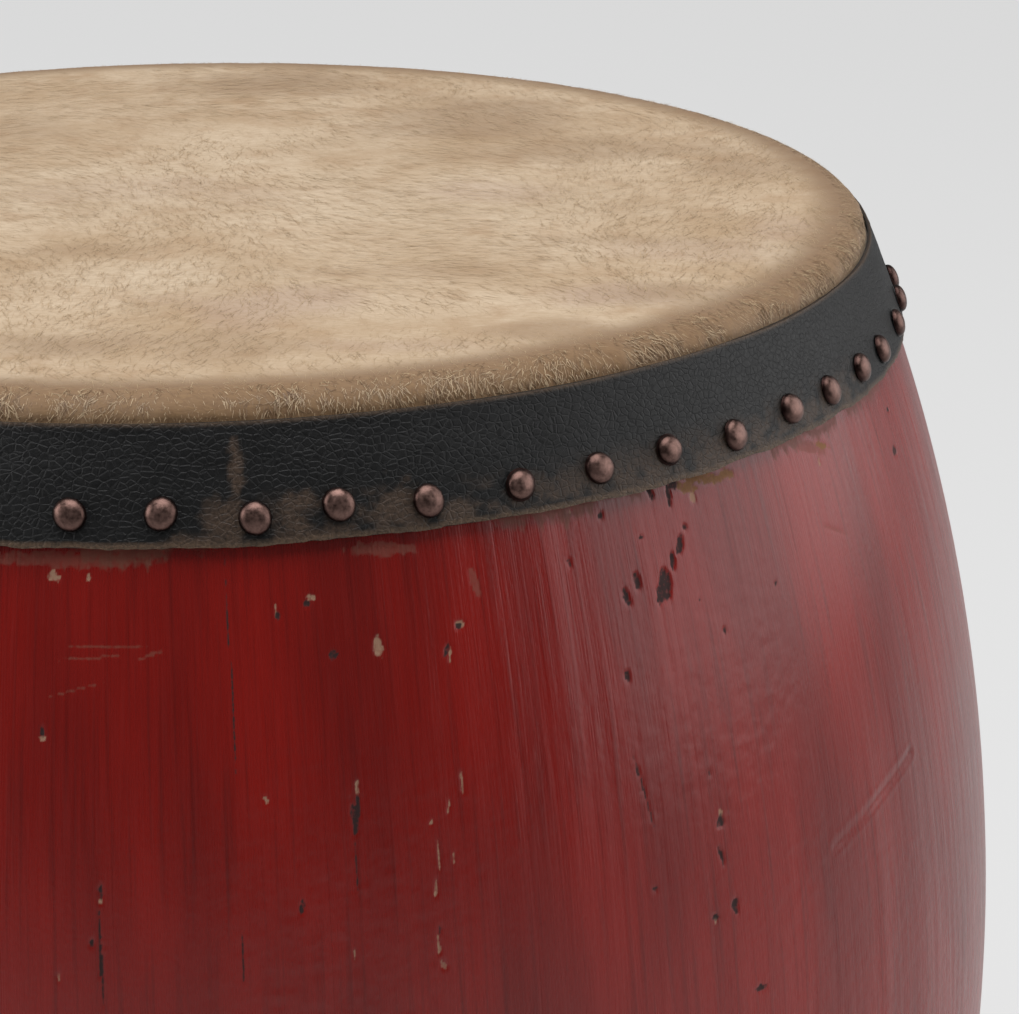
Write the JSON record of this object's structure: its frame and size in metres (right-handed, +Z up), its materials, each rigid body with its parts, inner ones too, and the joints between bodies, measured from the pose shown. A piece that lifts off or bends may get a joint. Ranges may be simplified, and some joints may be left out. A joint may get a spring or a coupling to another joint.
{
  "type": "tacked barrel drum",
  "caption": "Red lacquered stave barrel drum with two cowhide heads, black leather bands and domed tacks, standing on its lower head.",
  "frame": {"origin": "middle of the lower head's flat outer face, on the surface that the drum stands on", "axes": "+Z up along the drum's axis, from the lower head to the upper; +X and +Y across the drum, each through a glue line between two staves"},
  "size_m": [0.606, 0.606, 0.572],
  "materials": {
    "lacquered_wood": "red lacquer brushed over wood staves, glossy, chipped and scratched",
    "cowhide": "raw cowhide with short hair left on, mottled tan and pink, matt",
    "black_leather": "black leather strip, creased, satin, worn brown along its lower edge",
    "tack_metal": "worn copper-brown domed tack heads, polished on the crowns"
  },
  "bodies": {
    "root": {"stave_01": "lacquered_wood", "stave_02": "lacquered_wood", "stave_03": "lacquered_wood", "stave_04": "lacquered_wood", "stave_05": "lacquered_wood", "stave_06": "lacquered_wood", "stave_07": "lacquered_wood", "stave_08": "lacquered_wood", "stave_09": "lacquered_wood", "stave_10": "lacquered_wood", "stave_11": "lacquered_wood", "stave_12": "lacquered_wood", "stave_13": "lacquered_wood", "stave_14": "lacquered_wood", "stave_15": "lacquered_wood", "stave_16": "lacquered_wood", "stave_17": "lacquered_wood", "stave_18": "lacquered_wood", "stave_19": "lacquered_wood", "stave_20": "lacquered_wood", "stave_21": "lacquered_wood", "stave_22": "lacquered_wood", "stave_23": "lacquered_wood", "stave_24": "lacquered_wood", "stave_25": "lacquered_wood", "stave_26": "lacquered_wood", "stave_27": "lacquered_wood", "stave_28": "lacquered_wood", "head_top": "cowhide", "head_bottom": "cowhide", "band_top": "black_leather", "band_bottom": "black_leather", "tacks_top": "tack_metal", "tacks_bottom": "tack_metal"}
  },
  "joints": []
}
